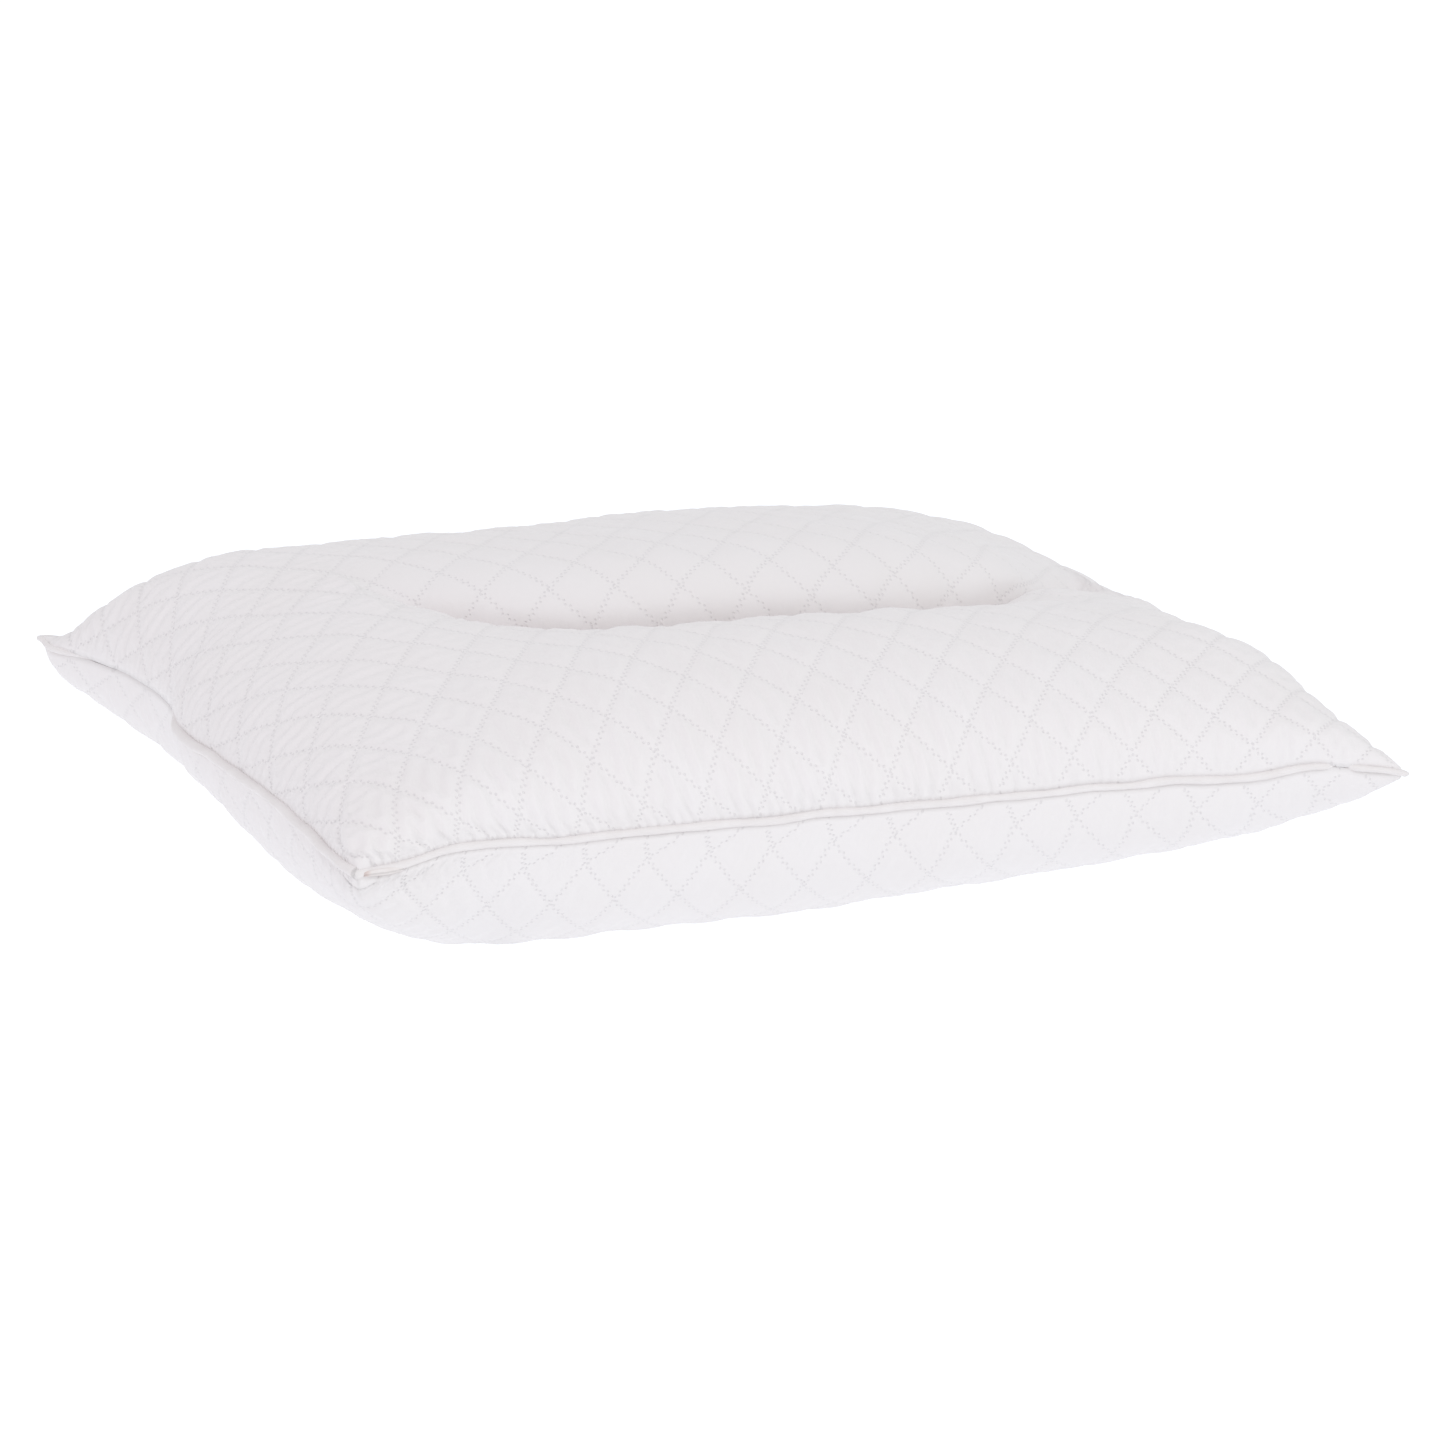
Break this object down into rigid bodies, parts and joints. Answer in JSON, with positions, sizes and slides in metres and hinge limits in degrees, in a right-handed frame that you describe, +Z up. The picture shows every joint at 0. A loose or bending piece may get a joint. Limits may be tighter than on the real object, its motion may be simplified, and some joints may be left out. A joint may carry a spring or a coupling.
{
  "type": "anatomical bed pillow",
  "caption": "Filled bed pillow of two diamond-quilted panels joined by a piped seam, with a curved sewn crease that parts a neck roll from a head cushion.",
  "frame": {"origin": "middle of the pillow's outline, on the plane that its underside rests on", "axes": "+Z up, +X along the long sides, +Y from the neck side to the head side"},
  "size_m": [0.5933, 0.4905, 0.14],
  "materials": {
    "microfibre": "soft white brushed microfibre with a faint sheen",
    "wadding": "matt white fleece",
    "backing": "matt nonwoven scrim",
    "piping": "warm white woven tape",
    "thread": "white polyester thread",
    "fibre_fill": "loose white hollow fibre"
  },
  "bodies": {
    "root": {"top_face_fabric": "microfibre", "top_wadding": "wadding", "top_backing": "backing", "bottom_face_fabric": "microfibre", "bottom_wadding": "wadding", "bottom_backing": "backing", "neck_fill": "fibre_fill", "head_fill": "fibre_fill", "crease_divider": "backing", "crease_seam_thread": "thread", "foot_seam_thread": "thread", "piping_tape": "piping", "piping_cord": "thread", "piping_end_tab": "piping", "perimeter_seam_thread": "thread", "closing_seam_thread": "thread"}
  },
  "joints": []
}
